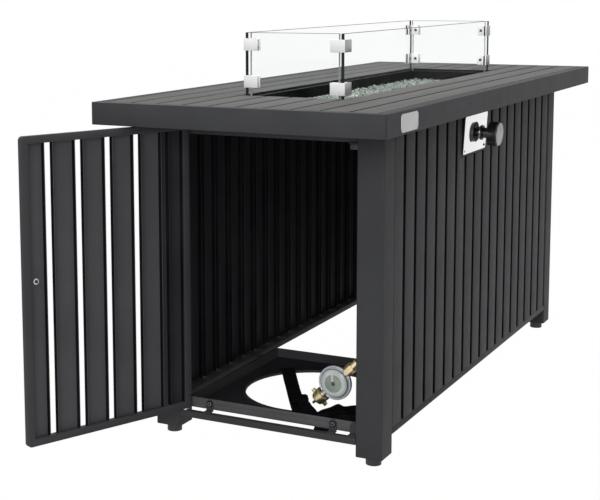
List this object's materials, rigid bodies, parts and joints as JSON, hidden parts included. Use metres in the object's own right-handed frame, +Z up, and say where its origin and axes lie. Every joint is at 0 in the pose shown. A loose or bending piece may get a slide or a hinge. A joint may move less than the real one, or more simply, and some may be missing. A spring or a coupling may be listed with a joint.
{
  "type": "gas fire pit table",
  "caption": "Long slatted fire pit table with a hinged tank door, glass wind guard, pebble-filled burner pan and side gas knob.",
  "frame": {"origin": "on the floor, at the centre of the four glides under the table", "axes": "+X along the top away from the door, -Y towards the side with the gas knob, +Z up"},
  "size_m": [1.5575, 0.6004, 0.752],
  "materials": {
    "powder_coat": "satin charcoal powder coat with a fine grain",
    "board_paint": "satin mid grey paint",
    "black_steel": "matt black heat-proof paint",
    "glide_plastic": "matt",
    "clear_glass": "clear, polished edges",
    "pebble_glass": "grey-green glass pebbles",
    "polished_steel": "mirror polished",
    "plated_screws": "bright zinc plate",
    "brass": "machined, satin",
    "cast_zinc": "cast, satin",
    "cover_plastic": "smooth grey-green",
    "hose_rubber": "matt",
    "webbing": "woven",
    "knob_plastic": "smooth, with a metal-grey face",
    "knob_metal": "satin grey",
    "blank_plate": "satin, bare",
    "magnet_case": "matt"
  },
  "bodies": {
    "table": {"badge_plate": "blank_plate", "bottom_rail_control_side": "powder_coat", "bottom_rail_door_end": "powder_coat", "bottom_rail_far_side": "powder_coat", "bottom_rail_tail_end": "powder_coat", "burner_pan": "black_steel", "catch_bracket": "powder_coat", "catch_magnet": "magnet_case", "control_bezel": "powder_coat", "control_plate": "polished_steel", "control_side_slats": "powder_coat", "deck_bearers": "powder_coat", "deck_boards_control_side": "board_paint", "deck_boards_door_end": "board_paint", "deck_boards_far_side": "board_paint", "deck_boards_tail_end": "board_paint", "door_stop_rail": "powder_coat", "far_side_slats": "powder_coat", "feet": "glide_plastic", "fire_glass": "pebble_glass", "gas_hose": "hose_rubber", "gas_valve": "brass", "hose_clips": "black_steel", "leg_door_control": "powder_coat", "leg_door_far": "powder_coat", "leg_tail_control": "powder_coat", "leg_tail_far": "powder_coat", "linear_burner": "black_steel", "regulator_body": "cast_zinc", "regulator_cover": "cover_plastic", "regulator_nipple": "plated_screws", "regulator_outlet": "brass", "side_strap": "webbing", "strap_buckle": "black_steel", "supply_tube": "brass", "tail_end_slats": "powder_coat", "tank_strap": "webbing", "tank_tray": "powder_coat", "top_rail_control_side": "powder_coat", "top_rail_door_end": "powder_coat", "top_rail_far_side": "powder_coat", "top_rail_tail_end": "powder_coat", "tray_bearer": "powder_coat", "tray_screws": "powder_coat", "upper_rails": "powder_coat"},
    "door": {"door_frame": "powder_coat", "door_slats": "powder_coat", "door_pivot_pins": "plated_screws", "door_pull": "knob_plastic", "door_pull_screw": "plated_screws"},
    "valve_stem": {"valve_stem": "plated_screws"},
    "control_knob": {"control_knob": "knob_plastic", "knob_face": "knob_metal"},
    "wind_guard": {"glass_pane_control_side": "clear_glass", "glass_pane_far_side": "clear_glass", "glass_pane_door_end": "clear_glass", "glass_pane_tail_end": "clear_glass", "guard_clamps": "polished_steel", "guard_clamp_screws": "plated_screws"},
    "regulator_nut": {"regulator_nut": "brass"}
  },
  "joints": [
    {"name": "door_hinge", "type": "hinge", "parent": "table", "child": "door", "pos_m": [-0.554, 0.167, 0.32], "axis": [0, 0, 1], "range_deg": [-15, 113]},
    {"name": "knob_push", "type": "slide", "parent": "table", "child": "valve_stem", "axis": [0, 0.9982, 0.0593], "range_m": [0, 0.0025], "stiffness_N_per_m": 1500, "springref_m": -0.001},
    {"name": "knob_turn", "type": "hinge", "parent": "valve_stem", "child": "control_knob", "pos_m": [-0.041, -0.23402, 0.5408], "axis": [0, -0.9982, -0.0593], "range_deg": [0, 150]},
    {"name": "guard_lift", "type": "slide", "parent": "table", "child": "wind_guard", "axis": [0, 0, 1], "range_m": [0, 0.15]},
    {"name": "nut_turn", "type": "hinge", "parent": "table", "child": "regulator_nut", "pos_m": [-0.5, -0.0843, 0.0963], "axis": [0, -0.7071, 0.7071], "continuous": true}
  ]
}
